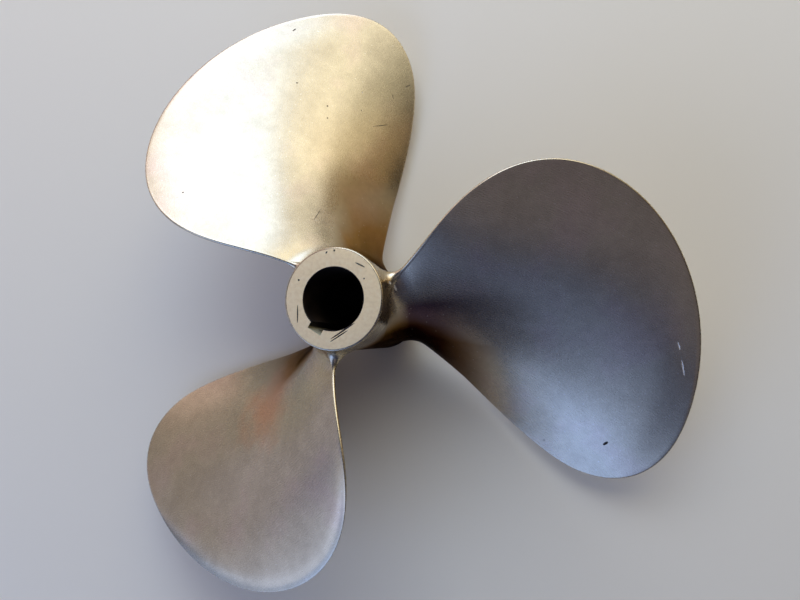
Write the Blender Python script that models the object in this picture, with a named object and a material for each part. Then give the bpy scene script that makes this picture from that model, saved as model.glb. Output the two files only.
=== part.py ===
"""Ship propeller, right-handed, with three blades cast in one piece with their hub.

Metres, +Z up. The casting lies on the aft end of its hub, so +Z runs forward along the shaft axis and
the convex backs of the blades face up. The origin is on the shaft axis at the aft end of the hub.

A blade is drawn flat first. u runs along the pitch line at a radius, forward edge positive, and is
measured from the blade's generator line. r is the radius, and w is the height above the flat driving
face. Wrapping each radius round its cylinder, along the pitch line, gives the screw surface.
"""

import math

import bmesh
import bpy
import numpy as np
from mathutils import Vector
from mathutils.geometry import interpolate_bezier

# Screw
BLADES = 3
TIP_RADIUS = 0.3555
PITCH = 0.8128
TIP_RAKE = 0.0145

# Hub
HUB_FORWARD_RADIUS = 0.0518
HUB_TAPER = 1.0 / 9.0
HUB_EDGE_RADIUS = 0.0020
HUB_BEYOND_FORWARD_ROOT = 0.0295
HUB_BEYOND_AFT_ROOT = 0.0260

# Tapered bore and its keyway
BORE_FORWARD_RADIUS = 0.0317
BORE_TAPER = 1.0 / 12.0
KEYWAY_WIDTH = 0.0158
KEYWAY_DEPTH = 0.0060
KEYWAY_ANGLE = math.radians(252.0)

# Blade outline: where each edge starts at the hub, and how far it reaches at its widest
FORWARD_EDGE_ROOT = 0.0870
FORWARD_EDGE_REACH = 0.2150
FORWARD_REACH_BELOW_TIP = 0.1088
AFT_EDGE_ROOT = 0.0390
AFT_EDGE_REACH = 0.1335
AFT_REACH_BELOW_TIP = 0.0638
TIP_SET_AFT = 0.0456

# Fullness of the outline's curves, as shares of each curve's own height or width
FORWARD_INNER_FULLNESS = (0.212, 0.346)
FORWARD_OUTER_FULLNESS = (0.833, 0.268)
AFT_OUTER_FULLNESS = (0.670, 0.698)
AFT_INNER_FULLNESS = (0.065, 0.258)
FORWARD_ROOT_FLARE = 0.63
AFT_ROOT_WAIST = 0.35

# Blade sections: flat driving face below, back rounded to a low arch above
ROOT_THICKNESS = 0.0240
TIP_THICKNESS = 0.0050
EDGE_THICKNESS = 0.0034
TIP_FADE = 0.0400
ROOT_FILLET_RADIUS = 0.0240
FILLET_MEETS_HUB = math.radians(25.0)

# How finely the shapes are divided
CURVE_POINTS = 40
FILLET_STEPS = 5
OUTER_RIBS = 18
INNER_ROWS = 6
EDGE_STEPS = 2
TURN_STEPS = 96
CUT_PAST = 0.010

BLADE_HEIGHT = TIP_RADIUS - HUB_FORWARD_RADIUS
SPINE_STOPS_BELOW_TIP = 0.45 * BLADE_HEIGHT
ROOT_PITCH_ANGLE = math.atan2(PITCH, 2.0 * math.pi * HUB_FORWARD_RADIUS)
GENERATOR_HEIGHT = HUB_BEYOND_AFT_ROOT + AFT_EDGE_ROOT * math.sin(ROOT_PITCH_ANGLE)
HUB_LENGTH = GENERATOR_HEIGHT + FORWARD_EDGE_ROOT * math.sin(ROOT_PITCH_ANGLE) + HUB_BEYOND_FORWARD_ROOT
HUB_AFT_RADIUS = HUB_FORWARD_RADIUS - HUB_LENGTH * HUB_TAPER / 2.0
BORE_AFT_RADIUS = BORE_FORWARD_RADIUS - HUB_LENGTH * BORE_TAPER / 2.0
BLADE_INNER_RADIUS = HUB_FORWARD_RADIUS - (HUB_AFT_RADIUS - BORE_AFT_RADIUS) / 2.0


def clear_scene():
    for obj in list(bpy.data.objects):
        bpy.data.objects.remove(obj, do_unlink=True)


def curve_points(start, start_handle, end_handle, end):
    """Points along one cubic curve in the (u, r) drawing of the blade."""
    corners = [Vector((p[0], p[1], 0.0)) for p in (start, start_handle, end_handle, end)]
    return [(point.x, point.y) for point in interpolate_bezier(*corners, CURVE_POINTS)]


def edge_outline(root, reach, below_tip, tip_u, root_slope, inner, outer):
    """One edge of the blade, from the hub to the tip, as (u, r) points with u positive on its side."""
    r_root = HUB_FORWARD_RADIUS
    r_reach = TIP_RADIUS - below_tip
    inner_height = r_reach - r_root
    outer_height = TIP_RADIUS - r_reach
    outer_width = reach - tip_u
    rise = inner[0] * inner_height
    lower = curve_points(
        (root, r_root),
        (root + root_slope * rise, r_root + rise),
        (reach, r_reach - inner[1] * inner_height),
        (reach, r_reach),
    )
    upper = curve_points(
        (reach, r_reach),
        (reach, r_reach + outer[0] * outer_height),
        (tip_u + outer[1] * outer_width, TIP_RADIUS),
        (tip_u, TIP_RADIUS),
    )
    return np.array(lower + upper[1:])


def blade_edges():
    """The forward edge, and the aft edge with its u turned negative."""
    forward = edge_outline(
        FORWARD_EDGE_ROOT,
        FORWARD_EDGE_REACH,
        FORWARD_REACH_BELOW_TIP,
        -TIP_SET_AFT,
        FORWARD_ROOT_FLARE,
        FORWARD_INNER_FULLNESS,
        FORWARD_OUTER_FULLNESS,
    )
    aft = edge_outline(
        AFT_EDGE_ROOT,
        AFT_EDGE_REACH,
        AFT_REACH_BELOW_TIP,
        TIP_SET_AFT,
        -AFT_ROOT_WAIST,
        AFT_INNER_FULLNESS,
        AFT_OUTER_FULLNESS,
    )
    aft[:, 0] *= -1.0
    return forward, aft


def fillet_stations():
    """Radii of the root's rows, from inside the hub to the top of the fillet, and how far each flares."""
    sink = ROOT_FILLET_RADIUS * math.cos(FILLET_MEETS_HUB)
    stations = [(BLADE_INNER_RADIUS, None)]
    for step in range(FILLET_STEPS + 1):
        turn = (math.pi / 2.0 - FILLET_MEETS_HUB) * (1.0 - step / FILLET_STEPS)
        height = sink - ROOT_FILLET_RADIUS * math.sin(turn)
        stations.append((HUB_FORWARD_RADIUS + height, ROOT_FILLET_RADIUS * (1.0 - math.cos(turn))))
    stations[0] = (BLADE_INNER_RADIUS, stations[1][1])
    return stations


def rib_ends(edge, stations):
    """Where the ribs start on one edge: at the stations' radii, then evenly along the edge to the tip."""
    length = np.concatenate([[0.0], np.cumsum(np.hypot(*np.diff(edge, axis=0).T))])
    at_fillet = np.interp(stations[-1][0], edge[:, 1], length)
    along = np.linspace(at_fillet, length[-1], OUTER_RIBS + 1)[1:]
    root = [(np.interp(radius, edge[:, 1], edge[:, 0]), radius) for radius, _ in stations]
    outer = np.stack([np.interp(along, length, edge[:, 0]), np.interp(along, length, edge[:, 1])], axis=1)
    return np.concatenate([np.array(root), outer])


def spine_points(forward, aft, stations):
    """Where the ribs of both edges meet, up the middle of the blade."""
    top = TIP_RADIUS - SPINE_STOPS_BELOW_TIP
    middle = (forward[: len(stations)] + aft[: len(stations)]) / 2.0
    share = np.linspace(0.0, 1.0, OUTER_RIBS + 1)[1:, None]
    end = np.array([(FORWARD_EDGE_REACH - AFT_EDGE_REACH) / 2.0, top])
    return np.concatenate([middle, middle[-1] + (end - middle[-1]) * share])


def thickness(u, r, edges):
    """Thickness of the blade at points of its flat drawing, from its edges to the middle of its arch."""
    forward, aft = edges
    high = np.interp(r, forward[:, 1], forward[:, 0]) - EDGE_THICKNESS / 2.0
    low = np.interp(r, aft[:, 1], aft[:, 0]) + EDGE_THICKNESS / 2.0
    across = np.clip((u - low) / np.maximum(high - low, 1e-6), 0.0, 1.0)
    up = np.clip((r - HUB_FORWARD_RADIUS) / BLADE_HEIGHT, 0.0, 1.0)
    most = ROOT_THICKNESS + (TIP_THICKNESS - ROOT_THICKNESS) * up
    fade = np.clip((TIP_RADIUS - r) / TIP_FADE, 0.0, 1.0)
    arch = 4.0 * across * (1.0 - across) * fade * (2.0 - fade)
    return EDGE_THICKNESS + (most - EDGE_THICKNESS) * arch


def hub_radius(z):
    share = np.clip(z / HUB_LENGTH, 0.0, 1.0)
    return HUB_AFT_RADIUS + (HUB_FORWARD_RADIUS - HUB_AFT_RADIUS) * share


def wrapped(u, r, w):
    """The point of the screw surface for a point of the flat drawing."""
    pitch_angle = np.arctan2(PITCH, 2.0 * math.pi * r)
    up = np.maximum(r - HUB_FORWARD_RADIUS, 0.0) / BLADE_HEIGHT
    z = GENERATOR_HEIGHT + TIP_RAKE * up**2 + u * np.sin(pitch_angle) + w * np.cos(pitch_angle)
    near_hub = np.clip(1.0 - up * 4.0, 0.0, 1.0)
    radius = r + (hub_radius(z) - HUB_FORWARD_RADIUS) * near_hub
    turn = (u * np.cos(pitch_angle) - w * np.sin(pitch_angle)) / radius
    return np.stack([radius * np.cos(turn), radius * np.sin(turn), z], axis=-1)


def rib_rows(end, spine, flare, edges):
    """One rib's points on the driving face and on the back, from the edge to the spine."""
    edge_radius = EDGE_THICKNESS / 2.0
    length = np.hypot(*(spine - end))
    inward = (spine - end) / length
    turns = np.linspace(0.0, math.pi / 2.0, EDGE_STEPS + 1)
    round_inside = edge_radius - (edge_radius + flare) * np.cos(turns)
    round_offset = (edge_radius + flare) * np.sin(turns)
    shares = np.linspace(0.0, 1.0, INNER_ROWS + 1)[1:] ** 1.4
    inside = np.concatenate([round_inside, edge_radius + (length - edge_radius) * shares])
    place = end + inward * inside[:, None]
    full = thickness(place[:, 0], place[:, 1], edges)
    face = np.full(len(inside), -flare)
    back = full + flare
    face[: EDGE_STEPS + 1] = edge_radius - round_offset
    back[: EDGE_STEPS + 1] = edge_radius + round_offset
    return wrapped(place[:, 0], place[:, 1], face), wrapped(place[:, 0], place[:, 1], back)


def blade_mesh():
    """One closed blade on the +X side, its root sunk into the hub."""
    edges = blade_edges()
    stations = fillet_stations()
    ends = [rib_ends(edge, stations) for edge in edges]
    spine = spine_points(ends[0], ends[1], stations)
    flares = [flare for _, flare in stations] + [0.0] * OUTER_RIBS
    last = len(spine) - 1
    order = [(0, i) for i in range(last + 1)] + [(1, i) for i in range(last - 1, -1, -1)]
    bm = bmesh.new()
    face_rows, back_rows, spine_face, spine_back = [], [], {}, {}
    for side, i in order:
        face, back = rib_rows(ends[side][i], spine[i], flares[i], edges)
        if i not in spine_face:
            spine_face[i] = bm.verts.new(face[-1])
            spine_back[i] = bm.verts.new(back[-1])
        rim = bm.verts.new(face[0])
        face_rows.append([rim] + [bm.verts.new(p) for p in face[1:-1]] + [spine_face[i]])
        back_rows.append([rim] + [bm.verts.new(p) for p in back[1:-1]] + [spine_back[i]])
    for rows in (face_rows, back_rows):
        for one, two in zip(rows, rows[1:]):
            for j in range(len(one) - 1):
                corners = [one[j], one[j + 1], two[j + 1], two[j]]
                bm.faces.new(dict.fromkeys(corners))
    root = face_rows[0] + face_rows[-1][-2::-1] + back_rows[-1][1:] + back_rows[0][-2:0:-1]
    bm.faces.new(root)
    bmesh.ops.triangulate(bm, faces=bm.faces)
    bmesh.ops.recalc_face_normals(bm, faces=bm.faces)
    return finish(bm, "blade")


def hub_mesh():
    """The hub as a turned solid, its two ends with rounded corners."""
    profile = [(0.0, 0.0)]
    aft_corner = (HUB_EDGE_RADIUS, HUB_AFT_RADIUS, -90.0)
    forward_corner = (HUB_LENGTH - HUB_EDGE_RADIUS, HUB_FORWARD_RADIUS, 0.0)
    for z_centre, radius, start in (aft_corner, forward_corner):
        for step in range(4):
            turn = math.radians(start + 30.0 * step)
            x = radius - HUB_EDGE_RADIUS + HUB_EDGE_RADIUS * math.cos(turn)
            profile.append((x, z_centre + HUB_EDGE_RADIUS * math.sin(turn)))
    profile.append((0.0, HUB_LENGTH))
    bm = bmesh.new()
    ring = [bm.verts.new((x, 0.0, z)) for x, z in profile]
    edges = [bm.edges.new(pair) for pair in zip(ring, ring[1:])]
    bmesh.ops.spin(
        bm, geom=ring + edges, cent=(0, 0, 0), axis=(0, 0, 1), dvec=(0, 0, 0), angle=2 * math.pi,
        steps=TURN_STEPS, use_merge=False, use_duplicate=False,
    )
    bmesh.ops.remove_doubles(bm, verts=bm.verts, dist=1e-6)
    bmesh.ops.recalc_face_normals(bm, faces=bm.faces)
    return finish(bm, "hub")


def bore_mesh():
    """Cutter for the tapered bore, past both ends of the hub."""
    grow = CUT_PAST * BORE_TAPER / 2.0
    bm = bmesh.new()
    bmesh.ops.create_cone(
        bm, cap_ends=True, segments=TURN_STEPS, radius1=BORE_AFT_RADIUS - grow,
        radius2=BORE_FORWARD_RADIUS + grow, depth=HUB_LENGTH + 2.0 * CUT_PAST,
    )
    bmesh.ops.translate(bm, verts=bm.verts, vec=(0, 0, HUB_LENGTH / 2.0))
    return finish(bm, "bore")


def keyway_mesh():
    """Cutter for the keyway, a slot whose floor runs parallel to the taper."""
    bm = bmesh.new()
    bmesh.ops.create_cube(bm, size=1.0)
    for vert in bm.verts:
        z = -CUT_PAST if vert.co.z < 0 else HUB_LENGTH + CUT_PAST
        floor = BORE_AFT_RADIUS + z * BORE_TAPER / 2.0 + KEYWAY_DEPTH
        x = 0.0 if vert.co.x < 0 else floor
        vert.co = Vector((x, KEYWAY_WIDTH * (0.5 if vert.co.y > 0 else -0.5), z))
    bmesh.ops.recalc_face_normals(bm, faces=bm.faces)
    return finish(bm, "keyway")


def finish(bm, name):
    mesh = bpy.data.meshes.new(name)
    bm.to_mesh(mesh)
    bm.free()
    mesh.shade_smooth()
    mesh.set_sharp_from_angle(angle=math.radians(35.0))
    return mesh


def bronze():
    """Worn propeller bronze, ground to a satin."""
    material = bpy.data.materials.new("satin_ground_bronze")
    material.use_nodes = True
    shader = material.node_tree.nodes["Principled BSDF"]
    shader.inputs["Base Color"].default_value = (0.47, 0.40, 0.30, 1.0)
    shader.inputs["Metallic"].default_value = 1.0
    shader.inputs["Roughness"].default_value = 0.38
    return material


def helper(name, mesh, turn):
    """A shape that is only joined to the casting or cut from it."""
    obj = bpy.data.objects.new(name, mesh)
    obj.rotation_euler = (0.0, 0.0, turn)
    obj.hide_render = True
    obj.display_type = "WIRE"
    bpy.context.scene.collection.objects.link(obj)
    return obj


def combine(casting, other, operation):
    step = casting.modifiers.new(other.name, "BOOLEAN")
    step.operation = operation
    step.solver = "EXACT"
    step.object = other


def build():
    clear_scene()
    casting = bpy.data.objects.new("propeller", hub_mesh())
    casting.data.materials.append(bronze())
    bpy.context.scene.collection.objects.link(casting)
    blade = blade_mesh()
    for number in range(BLADES):
        combine(casting, helper(f"blade_{number + 1}", blade, 2.0 * math.pi * number / BLADES), "UNION")
    combine(casting, helper("bore_cutter", bore_mesh(), 0.0), "DIFFERENCE")
    combine(casting, helper("keyway_cutter", keyway_mesh(), KEYWAY_ANGLE), "DIFFERENCE")


build()
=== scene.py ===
"""The looks of a three-blade ship propeller, cast in bronze, lying on the aft end of its hub.

Metres, +Z up and forward along the shaft. The casting is modelled again here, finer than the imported
solid: the blades are folded sheets wrapped on the screw, joined to a turned hub, and the bore and
keyway are cut last. Sizes carry the same names and values as in the part's source. The first blade is
the one at the right in the photograph, and the others follow anticlockwise.
"""

import math
from bisect import bisect_right

import bmesh
import bpy
from mathutils import Matrix, Vector, noise
from mathutils.bvhtree import BVHTree
from mathutils.geometry import interpolate_bezier

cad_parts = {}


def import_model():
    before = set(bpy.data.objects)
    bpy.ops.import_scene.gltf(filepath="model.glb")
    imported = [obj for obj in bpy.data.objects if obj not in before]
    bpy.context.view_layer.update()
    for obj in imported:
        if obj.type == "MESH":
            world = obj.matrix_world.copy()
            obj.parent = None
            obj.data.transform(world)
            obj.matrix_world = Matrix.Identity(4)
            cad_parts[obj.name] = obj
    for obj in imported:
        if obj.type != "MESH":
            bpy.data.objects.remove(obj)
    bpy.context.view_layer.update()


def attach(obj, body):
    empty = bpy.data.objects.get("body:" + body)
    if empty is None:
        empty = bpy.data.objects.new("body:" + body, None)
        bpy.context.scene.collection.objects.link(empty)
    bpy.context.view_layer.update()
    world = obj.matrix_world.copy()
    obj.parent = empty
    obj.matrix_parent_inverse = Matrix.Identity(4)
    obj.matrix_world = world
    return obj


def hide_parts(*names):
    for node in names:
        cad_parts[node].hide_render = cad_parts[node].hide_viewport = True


# Screw
BLADES = 3
TIP_RADIUS = 0.3555
PITCH = 0.8128
TIP_RAKE = 0.0145

# Hub
HUB_FORWARD_RADIUS = 0.0518
HUB_TAPER = 1.0 / 9.0
HUB_EDGE_RADIUS = 0.0020
HUB_BEYOND_FORWARD_ROOT = 0.0295
HUB_BEYOND_AFT_ROOT = 0.0260

# Tapered bore and its keyway
BORE_FORWARD_RADIUS = 0.0317
BORE_TAPER = 1.0 / 12.0
BORE_CHAMFER = 0.0006
KEYWAY_WIDTH = 0.0158
KEYWAY_DEPTH = 0.0060
KEYWAY_ANGLE = math.radians(252.0)

# Blade outline
FORWARD_EDGE_ROOT = 0.0870
FORWARD_EDGE_REACH = 0.2150
FORWARD_REACH_BELOW_TIP = 0.1088
AFT_EDGE_ROOT = 0.0390
AFT_EDGE_REACH = 0.1335
AFT_REACH_BELOW_TIP = 0.0638
TIP_SET_AFT = 0.0456
FORWARD_INNER_FULLNESS = (0.212, 0.346)
FORWARD_OUTER_FULLNESS = (0.833, 0.268)
AFT_OUTER_FULLNESS = (0.670, 0.698)
AFT_INNER_FULLNESS = (0.065, 0.258)
FORWARD_ROOT_FLARE = 0.63
AFT_ROOT_WAIST = 0.35

# Blade sections
ROOT_THICKNESS = 0.0240
TIP_THICKNESS = 0.0050
EDGE_THICKNESS = 0.0034
TIP_FADE = 0.0400
ROOT_FILLET_RADIUS = 0.0240
FILLET_MEETS_HUB = math.radians(9.0)

# The middle of the blade's flat drawing ends this far below the tip, as a share of its height
SPINE_BELOW_TIP = 0.45
# Up to this share of its height the blade follows the hub's taper
FOLLOWS_HUB_TO = 0.25

# How finely the shapes are divided
CURVE_POINTS = 160
RIBS = 260
ROWS = 52
TURN_STEPS = 224
HUB_ROWS = 44
CORNER_STEPS = 5
MARK_DIVISIONS = 3
# The fillet's share of the ribs, the share of those that is sunk in the hub, and the round edge's
# share of the rows; the other rows crowd towards the edge by this power
FILLET_RIBS = 0.16
SINK_RIBS = 0.10
EDGE_ROWS = 0.22
ROW_CROWDING = 1.4
# How far cutters reach past what they cut, and how close points are when they are joined
CUT_PAST = 0.010
BLADE_WELD = 0.00001
TURNED_WELD = 0.000001
# The least width a section is worked out with, the upright share of a flat end's normal, and the
# turn between two faces from which the edge between them is shaded sharp
NARROWEST = 0.000001
FLAT_END = 0.999
SHARP_ANGLE = math.radians(35.0)

# A blade spreads unevenly on both sides of its generator; this is the middle of its spread
MIDDLE_TURN = math.radians(10.0)

# The blades were ground by hand, so their surfaces are a little uneven
UNEVEN_DEPTH = 0.00025
UNEVEN_LENGTH = 0.060
UNEVEN_FROM_EDGE = 0.020
UNEVEN_LAYER_GAP = 3.7

# The third blade's forward edge was dressed back thinner, over a wide strip of its back
WIDELY_DRESSED = 2
DRESSED_WIDTH = 0.015
DRESSED_DEPTH = 0.0024
DRESSED_START = 0.30
DRESSED_FADE = 0.15

# Marks of handling: the middle and one end of each on the surface, its width and its depth
PUNCH_DOTS = (
    ((-0.0402, 0.0105, 0.1725), (-0.0392, 0.0105, 0.1725), 0.0020, 0.0007),
    ((0.0268, 0.0261, 0.1725), (0.0276, 0.0261, 0.1725), 0.0016, 0.0007),
    ((-0.0103, 0.0468, 0.1725), (-0.0093, 0.0468, 0.1725), 0.0020, 0.0007),
)
END_SCRATCHES = (
    ((-0.0330, -0.0228, 0.1725), (-0.0308, -0.0315, 0.1725), 0.0014, 0.0005),
    ((0.0178, -0.0285, 0.1725), (0.0282, -0.0179, 0.1725), 0.0016, 0.0005),
    ((0.0152, -0.0343, 0.1725), (0.0227, -0.0268, 0.1725), 0.0014, 0.0005),
    ((0.0196, 0.0383, 0.1725), (0.0250, 0.0370, 0.1725), 0.0014, 0.0005),
    ((-0.0180, 0.0433, 0.1725), (-0.0174, 0.0446, 0.1725), 0.0015, 0.0005),
)
BLADE_PITS = (
    ((0.2849, -0.0803, 0.0421), (0.2869, -0.0777, 0.0432), 0.0028, 0.0015),
    ((0.2215, -0.0964, 0.0197), (0.2222, -0.0958, 0.0200), 0.0013, 0.0006),
    ((-0.1997, 0.0747, 0.1636), (-0.1992, 0.0756, 0.1631), 0.0016, 0.0006),
    ((-0.1414, 0.2355, 0.0830), (-0.1405, 0.2359, 0.0827), 0.0015, 0.0006),
    ((-0.1636, 0.2984, 0.0778), (-0.1622, 0.3003, 0.0769), 0.0014, 0.0006),
    ((-0.1035, 0.2185, 0.0698), (-0.1032, 0.2177, 0.0699), 0.0020, 0.0007),
    ((-0.0992, 0.2043, 0.0713), (-0.0989, 0.2036, 0.0713), 0.0018, 0.0007),
    ((-0.0697, 0.2257, 0.0489), (-0.0693, 0.2252, 0.0488), 0.0010, 0.0006),
)
BLADE_SCRATCHES = (
    ((-0.0472, 0.2154, 0.0357), (-0.0398, 0.2196, 0.0299), 0.0007, 0.0003),
    ((-0.0302, 0.2719, 0.0209), (-0.0276, 0.2741, 0.0193), 0.0009, 0.0003),
    ((-0.0658, 0.0875, 0.1094), (-0.0660, 0.0958, 0.1026), 0.0007, 0.0003),
    ((-0.0427, 0.2536, 0.0289), (-0.0414, 0.2510, 0.0283), 0.0006, 0.0003),
)
BRIGHT_SCRATCHES = (
    ((0.3366, 0.0135, 0.0858), (0.3398, 0.0062, 0.0829), 0.0015, 0.0003),
    ((0.3275, 0.0332, 0.0938), (0.3295, 0.0299, 0.0924), 0.0014, 0.0003),
    ((0.3500, -0.0183, 0.0715), (0.3518, -0.0240, 0.0715), 0.0015, 0.0003),
    ((-0.0734, 0.2475, 0.0498), (-0.0731, 0.2468, 0.0497), 0.0012, 0.0003),
    ((0.0520, 0.0258, 0.1474), (0.0533, 0.0231, 0.1448), 0.0022, 0.0004),
    ((0.0477, 0.0287, 0.1539), (0.0488, 0.0273, 0.1529), 0.0022, 0.0004),
)

# Ground metal: clouds of tint, and a mottle from 12 mm down to 0.2 mm that is faintly dented too
CLOUD_WIDTH = 0.060
MOTTLE_WIDTH = 0.012
DENT_DEPTH = 0.00002
# The wheel's strokes are 0.4 mm wide, drawn 1.3 mm wide and 4.5 mm long so that they show
STROKE_SIZE = (0.0013, 0.0045, 0.020)
STROKE_TURN = math.radians(30.0)
STROKE_DEPTH = 0.000002
# The roughness of the strokes' smooth and rough sides, and what full tarnish with painted shade adds to
# it
SATIN = (0.26, 0.29)
TARNISH_AND_SHADE_ROUGHENS = 0.22
# Grit marks are 0.3 mm wide, drawn 1.8 mm across so that they show
GRAIN_WIDTH = 0.0018
GRAIN_DEPTH = 0.00004

# Tarnish and painted shade fade from full to none between these distances off the hub, faster on the
# forward side, so the aft roots are painted darker
TARNISH_AND_SHADE_REACH = (0.010, 0.115)
FORWARD_LEAN = 4.0
# Less painted shade towards the top: it thins out from the first of these heights up to the second. The
# second blade's root gets the least tarnish and painted shade and the third's the most: each gets this
# share of the first blade's
SHADE_THINS_UPWARDS = (0.095, 0.140)
SECOND_BLADE_SHADE_SHARE = 0.62
THIRD_BLADE_SHADE_SHARE = 1.20
# Patches of this width keep from this share of the tarnish and painted shade up to all of it
PATCH_WIDTH = 0.025
PATCHES_KEEP = 0.80
# A blade's own finish starts between these distances off the hub
BLADE_STARTS = (0.002, 0.015)

# The painted shade on the first blade's root fades off the hub and towards the root's forward corner,
# which is left unshaded
ROOT_SHADE_SPREAD = (0.030, 0.130)
UNSHADED_CORNER = (0.058, 0.080)

# The copper-coloured cloud on the third blade, its fade outwards and how far patches tear its edge
COPPER_PLACE = (-0.0843, -0.1335, 0.0836)
COPPERED = (0.030, 0.096)
COPPER_TEARING = 0.06
COPPER_AT_MOST = 0.85

# Pale specks painted as glints of the ground grain, about 7 mm apart, each fading between these shares
# of that from its middle
SPECK_SPACING = 0.007
SPECK_FADE = (0.05, 0.10)
SPECK_AT_MOST = 0.30

# The blade's edge is worn bare on its last 2 mm
WORN_EDGE = (0.0005, 0.0025)
WORN_AT_MOST = 0.6

# Faced ends: stains, and feed rings of 0.25 mm that are drawn 1.2 mm apart so that they show
FACE_STAIN_WIDTH = 0.004
FACE_DENT_DEPTH = 0.00003
RING_SPACING = 0.0012
RING_DEPTH = 0.000012
# A wave texture of scale 1 repeats after this length
WAVE_PERIOD = 0.31416

# Grease in the bore, painted near black also as its shade, and the keyway's patches, whose walls are
# painted dark as grease and shade, and which turn bare between these distances off the axis
GREASE_AND_SHADE_WIDTH = 0.015
SLOT_PATCH_WIDTH = 0.006
SLOT_BARE = (BORE_FORWARD_RADIUS + 0.0040, BORE_FORWARD_RADIUS + 0.0058)

# Crumbs of dirt in the marks, and drag marks of 0.2 mm in the scrapes, drawn 1.2 mm so that they show
CRUMB_WIDTH = 0.0006
DRAG_WIDTH = 0.0012

# Material slots of the casting
GROUND, FACED, BORED, SLOTTED, DIRTY, SCRAPED = range(6)

BLADE_HEIGHT = TIP_RADIUS - HUB_FORWARD_RADIUS
SPINE_TOP = TIP_RADIUS - SPINE_BELOW_TIP * BLADE_HEIGHT
ROOT_PITCH_ANGLE = math.atan2(PITCH, 2.0 * math.pi * HUB_FORWARD_RADIUS)
GENERATOR_HEIGHT = HUB_BEYOND_AFT_ROOT + AFT_EDGE_ROOT * math.sin(ROOT_PITCH_ANGLE)
HUB_LENGTH = GENERATOR_HEIGHT + FORWARD_EDGE_ROOT * math.sin(ROOT_PITCH_ANGLE) + HUB_BEYOND_FORWARD_ROOT
HUB_AFT_RADIUS = HUB_FORWARD_RADIUS - HUB_LENGTH * HUB_TAPER / 2.0
BORE_AFT_RADIUS = BORE_FORWARD_RADIUS - HUB_LENGTH * BORE_TAPER / 2.0
BLADE_INNER_RADIUS = HUB_FORWARD_RADIUS - (HUB_AFT_RADIUS - BORE_AFT_RADIUS) / 2.0

# Camera, solved from the outlines in the photograph
CAMERA_PLACE = (0.2604, -0.0121, 0.8168)
CAMERA_TURN = (3.029, 15.653, 13.966)
CAMERA_LENS = 31.57
CAMERA_SHIFT = (-0.0007, 0.0469)
SENSOR_WIDTH = 36.0
CLIP_START = 0.01

# Studio
LIGHT_DISTANCE = 2.6
LIGHT_AIM_HEIGHT = 0.1
FLOOR_REACH = 2.6
# A hair of space under the hub, so that the floor and its aft end don't share a plane
FLOOR_DROP = 0.0002
# The level way from the window to the room's warm side, and between which shares of it the walls turn
WARM_SIDE = (0.64, 0.77, 0.0)
WALLS_TURN = (-0.2, 0.8)


# The blades


def mix(a, b, share):
    return a + (b - a) * share


def clamp(value):
    return min(max(value, 0.0), 1.0)


def edge_outline(root, reach, below_tip, tip_u, root_slope, inner, outer):
    """One edge of the blade, from the hub to the tip, as (u, r) points with u positive on its side."""
    r_root = HUB_FORWARD_RADIUS
    r_reach = TIP_RADIUS - below_tip
    inner_height = r_reach - r_root
    outer_height = TIP_RADIUS - r_reach
    rise = inner[0] * inner_height
    lower = interpolate_bezier(
        (root, r_root, 0.0),
        (root + root_slope * rise, r_root + rise, 0.0),
        (reach, r_reach - inner[1] * inner_height, 0.0),
        (reach, r_reach, 0.0),
        CURVE_POINTS,
    )
    upper = interpolate_bezier(
        (reach, r_reach, 0.0),
        (reach, r_reach + outer[0] * outer_height, 0.0),
        (tip_u + outer[1] * (reach - tip_u), TIP_RADIUS, 0.0),
        (tip_u, TIP_RADIUS, 0.0),
        CURVE_POINTS,
    )
    return [(point.x, point.y) for point in lower + upper[1:]]


def table(keys, values):
    """A function that reads values between keys on straight lines."""

    def read(key):
        if key <= keys[0]:
            return values[0]
        if key >= keys[-1]:
            return values[-1]
        i = bisect_right(keys, key) - 1
        gap = keys[i + 1] - keys[i]
        return values[i] if gap <= 0.0 else mix(values[i], values[i + 1], (key - keys[i]) / gap)

    return read


class Edge:
    """One edge of the blade's flat drawing, read by radius or by distance along it."""

    def __init__(self, points):
        us = [u for u, _ in points]
        rs = [r for _, r in points]
        run = [0.0]
        for one, two in zip(points, points[1:]):
            run.append(run[-1] + math.hypot(two[0] - one[0], two[1] - one[1]))
        self.u_at = table(rs, us)
        self.place_u = table(run, us)
        self.place_r = table(run, rs)
        self.run_at = table(rs, run)
        self.whole = run[-1]


FORWARD_EDGE = Edge(
    edge_outline(
        FORWARD_EDGE_ROOT,
        FORWARD_EDGE_REACH,
        FORWARD_REACH_BELOW_TIP,
        -TIP_SET_AFT,
        FORWARD_ROOT_FLARE,
        FORWARD_INNER_FULLNESS,
        FORWARD_OUTER_FULLNESS,
    )
)
AFT_EDGE = Edge(
    [
        (-u, r)
        for u, r in edge_outline(
            AFT_EDGE_ROOT,
            AFT_EDGE_REACH,
            AFT_REACH_BELOW_TIP,
            TIP_SET_AFT,
            -AFT_ROOT_WAIST,
            AFT_INNER_FULLNESS,
            AFT_OUTER_FULLNESS,
        )
    ]
)


def hub_radius(z):
    return mix(HUB_AFT_RADIUS, HUB_FORWARD_RADIUS, clamp(z / HUB_LENGTH))


def follows_hub(r, z):
    """How much further in a radius of the flat drawing lies at a height, near the tapered hub."""
    up = max(r - HUB_FORWARD_RADIUS, 0.0) / BLADE_HEIGHT
    return (hub_radius(z) - HUB_FORWARD_RADIUS) * clamp(1.0 - up / FOLLOWS_HUB_TO)


def raked(r):
    up = max(r - HUB_FORWARD_RADIUS, 0.0) / BLADE_HEIGHT
    return GENERATOR_HEIGHT + TIP_RAKE * up**2


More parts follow.
